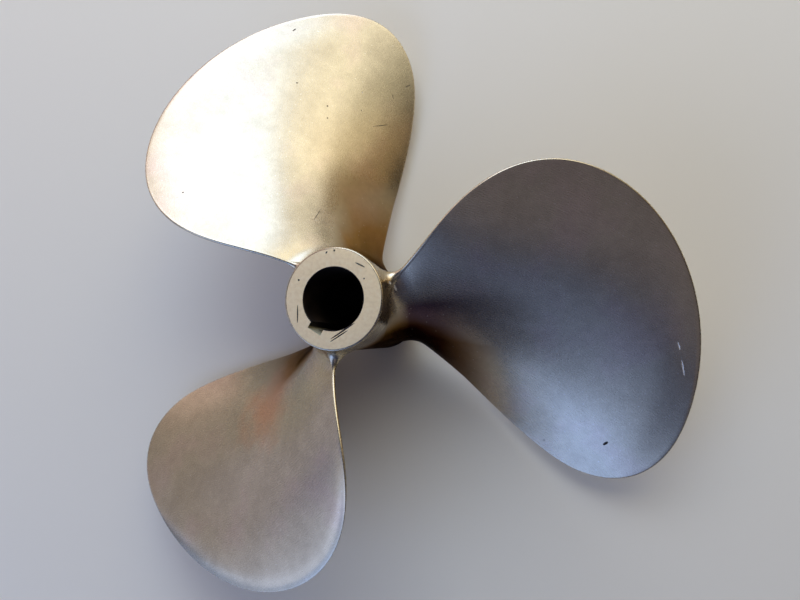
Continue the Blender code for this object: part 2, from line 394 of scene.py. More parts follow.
def wrapped(u, r, w):
    """The point of the screw surface for a point of the flat drawing."""
    pitch_angle = math.atan2(PITCH, 2.0 * math.pi * r)
    z = raked(r) + u * math.sin(pitch_angle) + w * math.cos(pitch_angle)
    radius = r + follows_hub(r, z)
    turn = (u * math.cos(pitch_angle) - w * math.sin(pitch_angle)) / radius
    return Vector((radius * math.cos(turn), radius * math.sin(turn), z))


def nearest_blade(point):
    return round((math.atan2(point.y, point.x) - MIDDLE_TURN) / (2.0 * math.pi / BLADES)) % BLADES


def unwrapped(point, number):
    """The flat drawing's (u, r, w) of a point, on a blade by its number."""
    turn = math.atan2(point.y, point.x) - number * 2.0 * math.pi / BLADES
    angle = math.remainder(turn - MIDDLE_TURN, 2.0 * math.pi) + MIDDLE_TURN
    radius = math.hypot(point.x, point.y)
    r = radius
    for _ in range(3):
        r = radius - follows_hub(r, point.z)
    pitch_angle = math.atan2(PITCH, 2.0 * math.pi * r)
    along = angle * radius
    up = point.z - raked(r)
    u = along * math.cos(pitch_angle) + up * math.sin(pitch_angle)
    w = up * math.cos(pitch_angle) - along * math.sin(pitch_angle)
    return u, r, w


def inside_edge(u, r):
    """How far a point of the flat drawing lies inside the blade's outline."""
    return min(FORWARD_EDGE.u_at(r) - u, u - AFT_EDGE.u_at(r), TIP_RADIUS - r)


def thickness(u, r):
    """Thickness of the blade at a place of its flat drawing: a round back over a flat face."""
    high = FORWARD_EDGE.u_at(r) - EDGE_THICKNESS / 2.0
    low = AFT_EDGE.u_at(r) + EDGE_THICKNESS / 2.0
    across = clamp((u - low) / max(high - low, NARROWEST))
    most = mix(ROOT_THICKNESS, TIP_THICKNESS, clamp((r - HUB_FORWARD_RADIUS) / BLADE_HEIGHT))
    fade = clamp((TIP_RADIUS - r) / TIP_FADE)
    bulge = 4.0 * across * (1.0 - across) * fade * (2.0 - fade)
    return EDGE_THICKNESS + (most - EDGE_THICKNESS) * bulge


def rib(side, share):
    """A rib's end on the edge, its end on the spine, and how far the root fillet flares it."""
    edge = FORWARD_EDGE if side > 0 else AFT_EDGE
    sink = ROOT_FILLET_RADIUS * math.cos(FILLET_MEETS_HUB)
    most_turn = math.pi / 2.0 - FILLET_MEETS_HUB
    top_r = HUB_FORWARD_RADIUS + sink
    if share <= FILLET_RIBS:
        part = share / FILLET_RIBS
        turn = most_turn * (1.0 - clamp((part - SINK_RIBS) / (1.0 - SINK_RIBS)))
        r = HUB_FORWARD_RADIUS + sink - ROOT_FILLET_RADIUS * math.sin(turn)
        r = mix(BLADE_INNER_RADIUS, r, clamp(part / SINK_RIBS))
        middle = (FORWARD_EDGE.u_at(r) + AFT_EDGE.u_at(r)) / 2.0
        flare = ROOT_FILLET_RADIUS * (1.0 - math.cos(turn))
        return Vector((edge.u_at(r), r)), Vector((middle, r)), flare
    part = (share - FILLET_RIBS) / (1.0 - FILLET_RIBS)
    run = mix(edge.run_at(top_r), edge.whole, part)
    middle = Vector(((FORWARD_EDGE.u_at(top_r) + AFT_EDGE.u_at(top_r)) / 2.0, top_r))
    top = Vector(((FORWARD_EDGE_REACH - AFT_EDGE_REACH) / 2.0, SPINE_TOP))
    return Vector((edge.place_u(run), edge.place_r(run))), middle.lerp(top, part), 0.0


def unevenness(u, r, inside, layer):
    """How far the hand-ground surface stands off its true place, none at the edge and at the root."""
    fade = clamp(inside / UNEVEN_FROM_EDGE) * clamp((r - HUB_FORWARD_RADIUS) / UNEVEN_FROM_EDGE - 1.0)
    place = Vector((u / UNEVEN_LENGTH, r / UNEVEN_LENGTH, UNEVEN_LAYER_GAP * layer))
    return UNEVEN_DEPTH * fade * noise.noise(place)


def blade_point(along, over, number):
    """along runs round the outline from the forward root to the aft one, over from face to back."""
    side = 1 if along < 0.5 else -1
    from_root = 1.0 - abs(2.0 * along - 1.0)
    end, spine, flare = rib(side, from_root)
    depth = abs(over)
    length = (spine - end).length
    dressed = 0.0
    if number == WIDELY_DRESSED and side > 0:
        dressed = DRESSED_DEPTH * clamp((from_root - DRESSED_START) / DRESSED_FADE)
        dressed *= clamp((1.0 - from_root) / DRESSED_FADE)
    edge_radius = (EDGE_THICKNESS - dressed) / 2.0
    inward = (spine - end) / length
    if depth < EDGE_ROWS:
        turn = depth / EDGE_ROWS * math.pi / 2.0
        inside = edge_radius - (edge_radius + flare) * math.cos(turn)
        offset = (edge_radius + flare) * math.sin(turn)
        place = end + inward * inside
        return wrapped(place.x, place.y, edge_radius + math.copysign(offset, over))
    share = (depth - EDGE_ROWS) / (1.0 - EDGE_ROWS)
    inside = edge_radius + (length - edge_radius) * share**ROW_CROWDING
    place = end + inward * inside
    layer = 2 * number + (over > 0.0)
    rough = unevenness(place.x, place.y, inside - edge_radius, layer)
    if over < 0.0:
        return wrapped(place.x, place.y, rough - flare)
    strip = 1.0 - clamp((inside - edge_radius) / DRESSED_WIDTH)
    height = thickness(place.x, place.y) + flare + rough - dressed * strip * strip
    return wrapped(place.x, place.y, height)


def blade_mesh(number):
    """One closed blade: a sheet folded over its own edge, its root sunk into the hub."""
    bm = bmesh.new()
    bmesh.ops.create_grid(bm, x_segments=RIBS, y_segments=ROWS, size=0.5)
    for vert in bm.verts:
        vert.co = blade_point(vert.co.x + 0.5, vert.co.y * 2.0, number)
    bmesh.ops.remove_doubles(bm, verts=bm.verts, dist=BLADE_WELD)
    rim = [edge for edge in bm.edges if edge.is_boundary]
    bmesh.ops.holes_fill(bm, edges=rim, sides=0)
    bmesh.ops.recalc_face_normals(bm, faces=bm.faces)
    return as_mesh(bm, f"blade_{number + 1}", GROUND)


# The hub, its bore and its keyway


def turned(profile, name, slot):
    """A solid turned from (radius, height) points that start and end on the shaft axis."""
    bm = bmesh.new()
    ring = [bm.verts.new((x, 0.0, z)) for x, z in profile]
    line = [bm.edges.new(pair) for pair in zip(ring, ring[1:])]
    bmesh.ops.spin(
        bm, geom=ring + line, cent=(0, 0, 0), axis=(0, 0, 1), dvec=(0, 0, 0), angle=2.0 * math.pi,
        steps=TURN_STEPS, use_merge=True, use_normal_flip=False, use_duplicate=False,
    )
    bmesh.ops.remove_doubles(bm, verts=bm.verts, dist=TURNED_WELD)
    bmesh.ops.recalc_face_normals(bm, faces=bm.faces)
    return as_mesh(bm, name, slot)


def hub_mesh():
    """The hub, turned, with rounded corners and faced ends."""
    corners = []
    aft = (HUB_EDGE_RADIUS, HUB_AFT_RADIUS, -90.0)
    forward = (HUB_LENGTH - HUB_EDGE_RADIUS, HUB_FORWARD_RADIUS, 0.0)
    for z, radius, start in (aft, forward):
        corner = []
        for step in range(CORNER_STEPS + 1):
            turn = math.radians(start + 90.0 * step / CORNER_STEPS)
            x = radius - HUB_EDGE_RADIUS + HUB_EDGE_RADIUS * math.cos(turn)
            corner.append((x, z + HUB_EDGE_RADIUS * math.sin(turn)))
        corners.append(corner)
    (low_x, low_z), (high_x, high_z) = corners[0][-1], corners[1][0]
    side = []
    for row in range(1, HUB_ROWS):
        side.append((mix(low_x, high_x, row / HUB_ROWS), mix(low_z, high_z, row / HUB_ROWS)))
    mesh = turned([(0.0, 0.0)] + corners[0] + side + corners[1] + [(0.0, HUB_LENGTH)], "hub", GROUND)
    for face in mesh.polygons:
        if abs(face.normal.z) > FLAT_END:
            face.material_index = FACED
    return mesh


def bore_mesh():
    """Cutter for the tapered bore, with a small chamfer at each end."""
    c = BORE_CHAMFER
    return turned(
        [
            (0.0, -CUT_PAST),
            (BORE_AFT_RADIUS + c + CUT_PAST, -CUT_PAST),
            (BORE_AFT_RADIUS + c, 0.0),
            (BORE_AFT_RADIUS, c),
            (BORE_FORWARD_RADIUS, HUB_LENGTH - c),
            (BORE_FORWARD_RADIUS + c, HUB_LENGTH),
            (BORE_FORWARD_RADIUS + c + CUT_PAST, HUB_LENGTH + CUT_PAST),
            (0.0, HUB_LENGTH + CUT_PAST),
        ],
        "bore",
        BORED,
    )


def keyway_mesh():
    """Cutter for the keyway, whose floor runs parallel to the taper."""
    bm = bmesh.new()
    bmesh.ops.create_cube(bm, size=1.0)
    for vert in bm.verts:
        z = -CUT_PAST if vert.co.z < 0.0 else HUB_LENGTH + CUT_PAST
        floor = BORE_AFT_RADIUS + z * BORE_TAPER / 2.0 + KEYWAY_DEPTH
        vert.co = Vector((0.0 if vert.co.x < 0.0 else floor, KEYWAY_WIDTH * vert.co.y, z))
    bmesh.ops.rotate(bm, verts=bm.verts, matrix=Matrix.Rotation(KEYWAY_ANGLE, 3, "Z"))
    bmesh.ops.recalc_face_normals(bm, faces=bm.faces)
    return as_mesh(bm, "keyway", SLOTTED)


# Marks of handling


def marks_mesh(marks, surface, name, slot):
    """Spindle-shaped cutters on the surface, each of which leaves a scratch, a dot or a pit."""
    bm = bmesh.new()
    for middle, end, width, depth in marks:
        run = Vector(end) - Vector(middle)
        seat, outward, _, _ = surface.find_nearest(middle)
        across = outward.cross(run).normalized()
        frame = Matrix((across.cross(outward), across, outward)).transposed().to_4x4()
        size = Matrix.Diagonal((run.length, width / 2.0, depth, 1.0))
        bmesh.ops.create_icosphere(
            bm, subdivisions=MARK_DIVISIONS, radius=1.0, matrix=Matrix.Translation(seat) @ frame @ size,
        )
    bmesh.ops.recalc_face_normals(bm, faces=bm.faces)
    return as_mesh(bm, name, slot)


# Casting


def as_mesh(bm, name, slot=0):
    for face in bm.faces:
        face.material_index = slot
    mesh = bpy.data.meshes.new(name)
    bm.to_mesh(mesh)
    bm.free()
    return mesh


def combine(casting, mesh, turn, operation):
    tool = bpy.data.objects.new(mesh.name, mesh)
    tool.rotation_euler = (0.0, 0.0, turn)
    bpy.context.scene.collection.objects.link(tool)
    step = casting.modifiers.new(tool.name, "BOOLEAN")
    step.operation = operation
    step.solver = "EXACT"
    step.object = tool
    return tool


def cast_propeller(materials):
    """Hub and blades in one piece, then the bore, the keyway and the marks cut."""
    casting = bpy.data.objects.new("casting", hub_mesh())
    for material in materials:
        casting.data.materials.append(material)
    bpy.context.scene.collection.objects.link(casting)
    tools = []
    for number in range(BLADES):
        turn = 2.0 * math.pi * number / BLADES
        tools.append(combine(casting, blade_mesh(number), turn, "UNION"))
    bpy.context.view_layer.update()
    surface = BVHTree.FromObject(casting, bpy.context.evaluated_depsgraph_get())
    marks = PUNCH_DOTS + END_SCRATCHES + BLADE_PITS + BLADE_SCRATCHES
    dark = marks_mesh(marks, surface, "dark_marks", DIRTY)
    bright = marks_mesh(BRIGHT_SCRATCHES, surface, "bright_marks", SCRAPED)
    for mesh in (bore_mesh(), keyway_mesh(), dark, bright):
        tools.append(combine(casting, mesh, 0.0, "DIFFERENCE"))
    bpy.context.view_layer.update()
    done = casting.evaluated_get(bpy.context.evaluated_depsgraph_get())
    mesh = bpy.data.meshes.new_from_object(done)
    mesh.name = "propeller_casting"
    for obj in tools + [casting]:
        bpy.data.objects.remove(obj)
    piece = bpy.data.objects.new("propeller_casting", mesh)
    bpy.context.scene.collection.objects.link(piece)
    return piece


def lay_out(piece):
    """Keep each face corner's place in the flat drawing and its distance from the blade's edge."""
    mesh = piece.data
    places, depths = [], []
    for face in mesh.polygons:
        number = nearest_blade(face.center)
        for corner in face.vertices:
            u, r, w = unwrapped(mesh.vertices[corner].co, number)
            places.extend((u + number, r, w))
            depths.append(inside_edge(u, r))
    flat = mesh.attributes.new("flat_drawing", "FLOAT_VECTOR", "CORNER")
    flat.data.foreach_set("vector", places)
    edge = mesh.attributes.new("from_edge", "FLOAT", "CORNER")
    edge.data.foreach_set("value", depths)


# Materials


def hex_colour(code):
    """An sRGB hex colour as linear light."""
    parts = [int(code[i : i + 2], 16) / 255.0 for i in (1, 3, 5)]
    return [p / 12.92 if p <= 0.04045 else ((p + 0.055) / 1.055) ** 2.4 for p in parts] + [1.0]


def add(tree, kind, links=None, values=None, stops=(), **settings):
    """A node with its settings, its constant inputs, its links and, on a colour ramp, its stops."""
    node = tree.nodes.new(kind)
    for name, value in settings.items():
        setattr(node, name, value)
    for place, value in (values or {}).items():
        node.inputs[place].default_value = value
    for place, socket in (links or {}).items():
        tree.links.new(socket, node.inputs[place])
    if stops:
        elements = node.color_ramp.elements
        elements[0].position, elements[-1].position = stops[0][0], stops[-1][0]
        for position, _ in stops[1:-1]:
            elements.new(position)
        for element, (_, colour) in zip(elements, stops):
            element.color = hex_colour(colour) if isinstance(colour, str) else [colour] * 3 + [1.0]
    return node


def new_material(name):
    material = bpy.data.materials.new(name)
    material.use_nodes = True
    tree = material.node_tree
    return material, tree, tree.nodes["Principled BSDF"]


def mottled_metal(tree, place):
    """The bare alloy's colour, and the fine mottle in it."""
    clouds = add(
        tree, "ShaderNodeTexNoise", {"Vector": place}, {"Scale": 1.0 / CLOUD_WIDTH, "Detail": 4.0},
    )
    tint = add(
        tree, "ShaderNodeValToRGB", {"Fac": clouds.outputs["Fac"]},
        stops=((0.34, "#B0A082"), (0.50, "#B8A889"), (0.66, "#BCA88D")),
    )
    mottle = add(
        tree, "ShaderNodeTexNoise", {"Vector": place},
        {"Scale": 1.0 / MOTTLE_WIDTH, "Detail": 6.0, "Roughness": 0.75},
    ).outputs["Fac"]
    shade = add(tree, "ShaderNodeValToRGB", {"Fac": mottle}, stops=((0.32, 0.85), (0.66, 1.0)))
    mottled = add(
        tree, "ShaderNodeMixRGB", {"Color1": tint.outputs["Color"], "Color2": shade.outputs["Color"]},
        {"Fac": 1.0}, blend_type="MULTIPLY",
    )
    return mottled.outputs["Color"], mottle


def read_drawing(tree, drawing):
    """The blade's number, and how far a place lies forward of its generator and off the hub."""
    across, reach, _ = add(tree, "ShaderNodeSeparateXYZ", {"Vector": drawing}).outputs
    blade = add(tree, "ShaderNodeMath", {0: across}, operation="ROUND").outputs["Value"]
    forward = add(tree, "ShaderNodeMath", {0: across, 1: blade}, operation="SUBTRACT").outputs["Value"]
    off_hub = add(tree, "ShaderNodeMath", {0: reach}, {1: HUB_FORWARD_RADIUS}, operation="SUBTRACT")
    return blade, forward, off_hub.outputs["Value"]


def root_tarnish_and_shade(tree, place, patches, blade, forward, off_hub):
    """How tarnished a place is, with painted shade added: fully on the hub and less further out, soonest
    on the forward side.
    """
    height = add(tree, "ShaderNodeSeparateXYZ", {"Vector": place}).outputs["Z"]
    lean = add(
        tree, "ShaderNodeMapRange", {"Value": forward},
        {"From Min": 0.0, "From Max": FORWARD_EDGE_ROOT, "To Min": 1.0, "To Max": FORWARD_LEAN},
    )
    thinned_upwards = add(
        tree, "ShaderNodeMapRange", {"Value": height},
        {"From Min": SHADE_THINS_UPWARDS[0], "From Max": SHADE_THINS_UPWARDS[1], "To Min": 0.0, "To Max": TARNISH_AND_SHADE_REACH[1]},
    )
    away = add(
        tree, "ShaderNodeMath", {0: off_hub, 1: lean.outputs["Result"], 2: thinned_upwards.outputs["Result"]},
        operation="MULTIPLY_ADD",
    )
    near_hub = add(
        tree, "ShaderNodeMapRange", {"Value": away.outputs["Value"]},
        {"From Min": TARNISH_AND_SHADE_REACH[0], "From Max": TARNISH_AND_SHADE_REACH[1], "To Min": 1.0, "To Max": 0.0},
        interpolation_type="SMOOTHSTEP",
    )
    uneven = add(
        tree, "ShaderNodeMapRange", {"Value": patches},
        {"From Min": 0.30, "From Max": 0.65, "To Min": PATCHES_KEEP, "To Max": 1.0},
    )
    # A parabola over the blade's number: 1 for the first blade, then the other two blades' shares
    bend = (THIRD_BLADE_SHADE_SHARE - 1.0) / 2.0 - (SECOND_BLADE_SHADE_SHARE - 1.0)
    rise = SECOND_BLADE_SHADE_SHARE - 1.0 - bend
    slope = add(tree, "ShaderNodeMath", {0: blade}, {1: bend, 2: rise}, operation="MULTIPLY_ADD")
    share = add(
        tree, "ShaderNodeMath", {0: slope.outputs["Value"], 1: blade}, {2: 1.0},
        operation="MULTIPLY_ADD",
    )
    by_blade = add(
        tree, "ShaderNodeMapRange", {"Value": off_hub, "To Max": share.outputs["Value"]},
        {"From Min": BLADE_STARTS[0], "From Max": BLADE_STARTS[1], "To Min": 1.0},
    )
    kept = add(
        tree, "ShaderNodeMath", {0: uneven.outputs["Result"], 1: by_blade.outputs["Result"]},
        operation="MULTIPLY",
    )
    # Brown tarnish in the roots, with painted shade added on the aft roots, on the hub's side and by
    # blade
    tarnish_and_shade = add(
        tree, "ShaderNodeMath", {0: near_hub.outputs["Result"], 1: kept.outputs["Value"]},
        operation="MULTIPLY", use_clamp=True,
    )
    return tarnish_and_shade.outputs["Value"]


def painted_root_shade(tree, blade, forward, off_hub, beyond_hub):
    """How much painted shade darkens the first blade's root: nearly black, but for its forward corner.
    """
    first = add(tree, "ShaderNodeMath", {0: blade}, {1: 0.5}, operation="LESS_THAN")
    spread = add(
        tree, "ShaderNodeMapRange", {"Value": off_hub},
        {"From Min": ROOT_SHADE_SPREAD[0], "From Max": ROOT_SHADE_SPREAD[1], "To Min": 1.0, "To Max": 0.0},
        interpolation_type="SMOOTHSTEP",
    )
    below_corner = add(
        tree, "ShaderNodeMapRange", {"Value": forward},
        {"From Min": UNSHADED_CORNER[0], "From Max": UNSHADED_CORNER[1], "To Min": 1.0, "To Max": 0.0},
        interpolation_type="SMOOTHSTEP",
    )
    on_first = add(
        tree, "ShaderNodeMath", {0: spread.outputs["Result"], 1: first.outputs["Value"]},
        operation="MULTIPLY",
    )
    rooted = add(
        tree, "ShaderNodeMath", {0: beyond_hub, 1: below_corner.outputs["Result"]},
        operation="MULTIPLY",
    )
    root_shade = add(
        tree, "ShaderNodeMath", {0: on_first.outputs["Value"], 1: rooted.outputs["Value"]},
        operation="MULTIPLY",
    )
    return root_shade.outputs["Value"]


def copper_cloud(tree, place, patches):
    """How copper-coloured the third blade is round one place, with an edge torn by the patches."""
    off = add(tree, "ShaderNodeVectorMath", {0: place}, {1: COPPER_PLACE}, operation="DISTANCE")
    torn = add(
        tree, "ShaderNodeMath", {0: patches, 2: off.outputs["Value"]}, {1: COPPER_TEARING},
        operation="MULTIPLY_ADD",
    )
    cloud = add(
        tree, "ShaderNodeMapRange", {"Value": torn.outputs["Value"]},
        {"From Min": COPPERED[0], "From Max": COPPERED[1], "To Min": COPPER_AT_MOST, "To Max": 0.0},
        interpolation_type="SMOOTHSTEP",
    )
    return cloud.outputs["Result"]


def glint_specks(tree, place):
    """How pale the metal is painted with specks that stand for glints of the ground grain."""
    speck_cells = add(
        tree, "ShaderNodeTexVoronoi", {"Vector": place},
        {"Scale": 1.0 / SPECK_SPACING, "Randomness": 1.0},
    )
    speck = add(
        tree, "ShaderNodeMapRange", {"Value": speck_cells.outputs["Distance"]},
        {"From Min": SPECK_FADE[0], "From Max": SPECK_FADE[1], "To Min": SPECK_AT_MOST, "To Max": 0.0},
    )
    return speck.outputs["Result"]


def bare_rim(tree, beyond_hub):
    """How bare the metal is worn along the blade's edge."""
    from_edge = add(tree, "ShaderNodeAttribute", attribute_name="from_edge").outputs["Fac"]
    close = add(
        tree, "ShaderNodeMapRange", {"Value": from_edge},
        {"From Min": WORN_EDGE[0], "From Max": WORN_EDGE[1], "To Min": WORN_AT_MOST, "To Max": 0.0},
    )
    rim = add(
        tree, "ShaderNodeMath", {0: close.outputs["Result"], 1: beyond_hub}, operation="MULTIPLY",
    )
    return rim.outputs["Value"]


def ground_relief(tree, place, strokes, mottle):
    """The wheel's strokes, the grit's grain and shallow dents, one bump over the other."""
    grain = add(
        tree, "ShaderNodeTexNoise", {"Vector": place}, {"Scale": 1.0 / GRAIN_WIDTH, "Detail": 2.0},
    )
    stroked = add(
        tree, "ShaderNodeBump", {"Height": strokes}, {"Strength": 1.0, "Distance": STROKE_DEPTH},
    )
    grained = add(
        tree, "ShaderNodeBump", {"Height": grain.outputs["Fac"], "Normal": stroked.outputs["Normal"]},
        {"Strength": 1.0, "Distance": GRAIN_DEPTH},
    )
    dented = add(
        tree, "ShaderNodeBump", {"Height": mottle, "Normal": grained.outputs["Normal"]},
        {"Strength": 1.0, "Distance": DENT_DEPTH},
    )
    return dented.outputs["Normal"]


def ground_bronze():
    """Propeller bronze, ground with a flap wheel, then dulled by handling, with pale specks painted as
    glints.

    The eye sees a soft satin whose tint drifts in clouds, faint slanting strokes of the wheel, brown
    tarnish in the roots where the wheel doesn't reach, with painted shade added on the aft roots and the
    hub's side, a painted dark shade on the first blade's root, pale specks painted as glints, and
    brighter metal along the thin edges.
    """
    material, tree, shader = new_material("satin_ground_bronze")
    place = add(tree, "ShaderNodeTexCoord").outputs["Object"]
    drawing = add(tree, "ShaderNodeAttribute", attribute_name="flat_drawing").outputs["Vector"]
    blade, forward, off_hub = read_drawing(tree, drawing)
    beyond_hub = add(
        tree, "ShaderNodeMapRange", {"Value": off_hub},
        {"From Min": BLADE_STARTS[0], "From Max": BLADE_STARTS[1]},
    ).outputs["Result"]
    patches = add(
        tree, "ShaderNodeTexNoise", {"Vector": place}, {"Scale": 1.0 / PATCH_WIDTH, "Detail": 4.0},
    ).outputs["Fac"]
    mottled, mottle = mottled_metal(tree, place)
    tarnish_and_shade = root_tarnish_and_shade(tree, place, patches, blade, forward, off_hub)

    # The tarnish and painted shade are golden where thin and dark brown where thick
    tarnish_and_shade_tint = add(
        tree, "ShaderNodeValToRGB", {"Fac": tarnish_and_shade},
        stops=((0.0, "#FFFFFF"), (0.45, "#D8B580"), (1.0, "#3A2A1E")),
    )
    browned = add(
        tree, "ShaderNodeMixRGB", {"Color1": mottled, "Color2": tarnish_and_shade_tint.outputs["Color"]},
        {"Fac": 1.0}, blend_type="MULTIPLY",
    )
    colour = browned.outputs["Color"]
    layers = (
        # Painted shade: a dark lavender multiplied into the first blade's root
        (painted_root_shade(tree, blade, forward, off_hub, beyond_hub), "#7A6684", "MULTIPLY"),
        (copper_cloud(tree, place, patches), "#C48E68", "MIX"),
        # Painted glints: pale specks
        (glint_specks(tree, place), "#E8E2D4", "MIX"),
        (bare_rim(tree, beyond_hub), "#CDBF9F", "MIX"),
    )
    for amount, tint, blend in layers:
        layer = add(
            tree, "ShaderNodeMixRGB", {"Fac": amount, "Color1": colour}, {"Color2": hex_colour(tint)},
            blend_type=blend,
        )
        colour = layer.outputs["Color"]
    tree.links.new(colour, shader.inputs["Base Color"])
    shader.inputs["Metallic"].default_value = 1.0

    # Tarnish and painted shade also mirror less at a slant
    slant_dimming = add(
        tree, "ShaderNodeValToRGB", {"Fac": tarnish_and_shade}, stops=((0.0, "#FFFFFF"), (1.0, "#5F5854")),
    )
    tree.links.new(slant_dimming.outputs["Color"], shader.inputs["Specular Tint"])

    slant = add(
        tree, "ShaderNodeMapping", {"Vector": drawing},
        {"Rotation": (0.0, 0.0, STROKE_TURN), "Scale": STROKE_SIZE}, vector_type="TEXTURE",
    )
    strokes = add(
        tree, "ShaderNodeTexNoise", {"Vector": slant.outputs["Vector"]}, {"Scale": 1.0, "Detail": 2.0},
    ).outputs["Fac"]
    satin = add(
        tree, "ShaderNodeMapRange", {"Value": strokes},
        {"From Min": 0.25, "From Max": 0.75, "To Min": SATIN[0], "To Max": SATIN[1]},
    )
    dull = add(
        tree, "ShaderNodeMath", {0: tarnish_and_shade, 2: satin.outputs["Result"]}, {1: TARNISH_AND_SHADE_ROUGHENS},
        operation="MULTIPLY_ADD",
    )
    tree.links.new(dull.outputs["Value"], shader.inputs["Roughness"])
    tree.links.new(ground_relief(tree, place, strokes, mottle), shader.inputs["Normal"])
    return material


def faced_bronze():
    """The hub's ends, faced on a lathe and dulled by handling: matt and beige, with fine rings."""
    material, tree, shader = new_material("faced_bronze")
    place = add(tree, "ShaderNodeTexCoord").outputs["Object"]
    stains = add(
        tree, "ShaderNodeTexNoise", {"Vector": place}, {"Scale": 1.0 / FACE_STAIN_WIDTH, "Detail": 5.0},
    ).outputs["Fac"]
    tint = add(
        tree, "ShaderNodeValToRGB", {"Fac": stains},
        stops=((0.32, "#EFD49F"), (0.50, "#F7DCA7"), (0.68, "#FBE3B2")),
    )
    tree.links.new(tint.outputs["Color"], shader.inputs["Base Color"])
    shader.inputs["Metallic"].default_value = 0.4
    rough = add(
        tree, "ShaderNodeMapRange", {"Value": stains},
        {"From Min": 0.3, "From Max": 0.7, "To Min": 0.56, "To Max": 0.46},
    )
    tree.links.new(rough.outputs["Result"], shader.inputs["Roughness"])
    rings = add(
        tree, "ShaderNodeTexWave", {"Vector": place},
        {"Scale": WAVE_PERIOD / RING_SPACING, "Distortion": 0.6, "Detail": 1.0},
        wave_type="RINGS", rings_direction="Z",
    )
    ringed = add(
        tree, "ShaderNodeBump", {"Height": rings.outputs["Fac"]},
        {"Strength": 1.0, "Distance": RING_DEPTH},
    )
    pitted = add(
        tree, "ShaderNodeBump", {"Height": stains, "Normal": ringed.outputs["Normal"]},
        {"Strength": 1.0, "Distance": FACE_DENT_DEPTH},
    )
    tree.links.new(pitted.outputs["Normal"], shader.inputs["Normal"])
    return material


def bored_bronze():
    """The bored taper under old shaft grease, painted near black also as the shade deep in the bore,
    with a brown bloom.
    """
    material, tree, shader = new_material("greased_bore_painted_shade")
    place = add(tree, "ShaderNodeTexCoord").outputs["Object"]
    grease_and_shade = add(
        tree, "ShaderNodeTexNoise", {"Vector": place}, {"Scale": 1.0 / GREASE_AND_SHADE_WIDTH, "Detail": 5.0},
    ).outputs["Fac"]
    # Near black for grease and for the painted shade deep in the bore
    tint = add(
        tree, "ShaderNodeValToRGB", {"Fac": grease_and_shade},
        stops=((0.35, "#120D0A"), (0.55, "#241A12"), (0.75, "#3A2D1C")),
    )
    tree.links.new(tint.outputs["Color"], shader.inputs["Base Color"])
    shader.inputs["Metallic"].default_value = 0.4
    rough = add(
        tree, "ShaderNodeMapRange", {"Value": grease_and_shade},
        {"From Min": 0.3, "From Max": 0.7, "To Min": 0.42, "To Max": 0.62},
    )
    tree.links.new(rough.outputs["Result"], shader.inputs["Roughness"])
    return material


def slotted_bronze():
    """The keyway's cut walls: greased and painted dark as their shade, but bare and dull on its floor
    near the forward end.
    """
    material, tree, shader = new_material("slotted_bronze")
    place = add(tree, "ShaderNodeTexCoord").outputs["Object"]
    patches = add(
        tree, "ShaderNodeTexNoise", {"Vector": place}, {"Scale": 1.0 / SLOT_PATCH_WIDTH, "Detail": 4.0},
    )
    flat = add(tree, "ShaderNodeVectorMath", {0: place}, {1: (1.0, 1.0, 0.0)}, operation="MULTIPLY")
    from_axis = add(tree, "ShaderNodeVectorMath", {0: flat.outputs["Vector"]}, operation="LENGTH")
    deep = add(
        tree, "ShaderNodeMapRange", {"Value": from_axis.outputs["Value"]},
        {"From Min": SLOT_BARE[0], "From Max": SLOT_BARE[1], "To Min": 0.0, "To Max": 0.8},
    )
    bare = add(
        tree, "ShaderNodeMath", {0: patches.outputs["Fac"], 2: deep.outputs["Result"]}, {1: 0.4},
        operation="MULTIPLY_ADD",
    )
    # Near black on the walls for grease and painted shade, pale on the bare floor
    tint = add(
        tree, "ShaderNodeValToRGB", {"Fac": bare.outputs["Value"]},
        stops=((0.30, "#17110C"), (0.62, "#6E6450"), (0.92, "#B5AE90")),
    )
    tree.links.new(tint.outputs["Color"], shader.inputs["Base Color"])
    shader.inputs["Metallic"].default_value = 0.35
    shader.inputs["Roughness"].default_value = 0.6
    return material


def packed_dirt():
    """Old dirt packed in the punch dots, pits and scratches: nearly black, dry and dull."""
    material, tree, shader = new_material("packed_dirt")
    place = add(tree, "ShaderNodeTexCoord").outputs["Object"]
    crumbs = add(
        tree, "ShaderNodeTexNoise", {"Vector": place}, {"Scale": 1.0 / CRUMB_WIDTH, "Detail": 2.0},
    )
    tint = add(
        tree, "ShaderNodeValToRGB", {"Fac": crumbs.outputs["Fac"]},
        stops=((0.35, "#171210"), (0.65, "#3A3027")),
    )
    tree.links.new(tint.outputs["Color"], shader.inputs["Base Color"])
    shader.inputs["Roughness"].default_value = 0.85
    return material


def scraped_bronze():
    """Metal laid bare by a recent scrape: paler than the dulled surface round it, and matt."""
    material, tree, shader = new_material("scraped_bronze")
    place = add(tree, "ShaderNodeTexCoord").outputs["Object"]
    drag = add(
        tree, "ShaderNodeTexNoise", {"Vector": place}, {"Scale": 1.0 / DRAG_WIDTH, "Detail": 2.0},
    )
    tint = add(
        tree, "ShaderNodeValToRGB", {"Fac": drag.outputs["Fac"]},
        stops=((0.35, "#DFD3BA"), (0.65, "#F0E7D2")),
    )
    tree.links.new(tint.outputs["Color"], shader.inputs["Base Color"])
    shader.inputs["Metallic"].default_value = 0.5
    shader.inputs["Roughness"].default_value = 0.45
    return material


# Studio and camera


